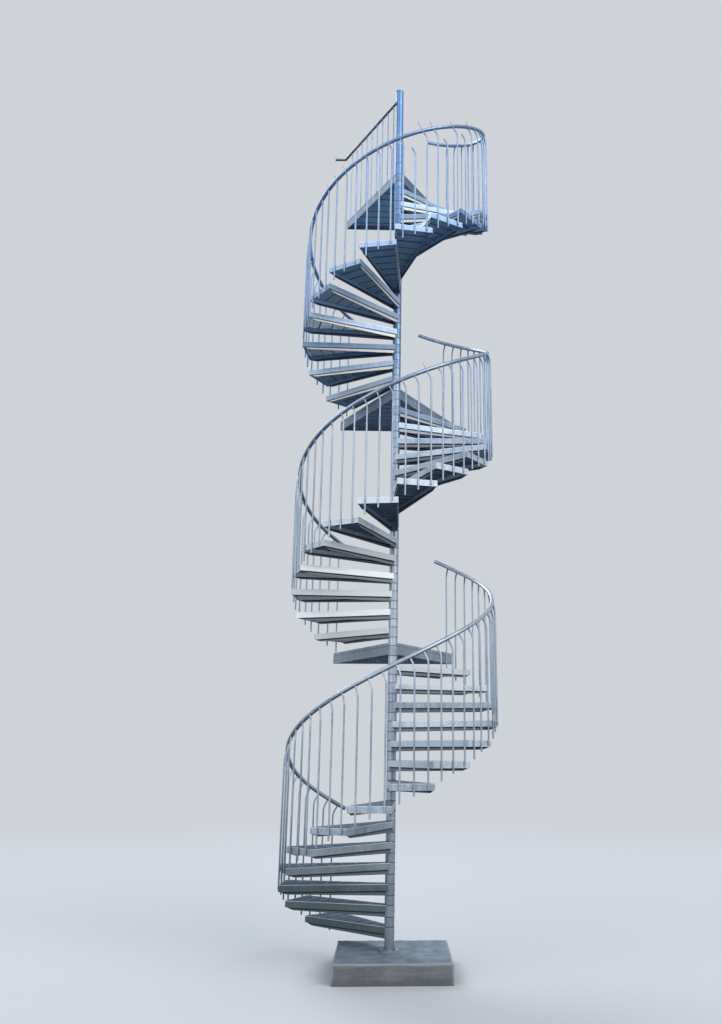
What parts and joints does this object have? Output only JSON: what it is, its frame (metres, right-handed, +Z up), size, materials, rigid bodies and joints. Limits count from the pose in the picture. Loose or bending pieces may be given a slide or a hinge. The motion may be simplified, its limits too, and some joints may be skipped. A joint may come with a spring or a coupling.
{
  "type": "fire escape stair tower",
  "caption": "Galvanised steel spiral fire escape stair round a central column, with wedge treads, wall-side landings, helical handrails and a square concrete footing.",
  "frame": {"origin": "column axis at the underside of the concrete footing", "axes": "+Z up along the column; +Y towards the building wall that the landings reach; +X to the right seen from the open side"},
  "size_m": [2.1327, 2.2824, 9.838],
  "materials": {
    "tread_steel": "hot-dip galvanised, weathered matt",
    "rail_steel": "hot-dip galvanised, satin",
    "column_steel": "hot-dip galvanised, satin",
    "concrete": "rough cast concrete, weathered"
  },
  "bodies": {
    "root": {"footing": "concrete", "base_flange": "column_steel", "newel": "column_steel", "newel_cap": "column_steel", "treads_1": "tread_steel", "treads_2": "tread_steel", "treads_3": "tread_steel", "landing_1": "tread_steel", "landing_2": "tread_steel", "landing_3": "tread_steel", "spacers_1": "column_steel", "spacers_2": "column_steel", "spacers_3": "column_steel", "handrail_1": "rail_steel", "handrail_2": "rail_steel", "handrail_3": "rail_steel", "balusters_1": "rail_steel", "balusters_2": "rail_steel", "balusters_3": "rail_steel", "guard_rail": "rail_steel", "guard_balusters": "rail_steel"}
  },
  "joints": []
}
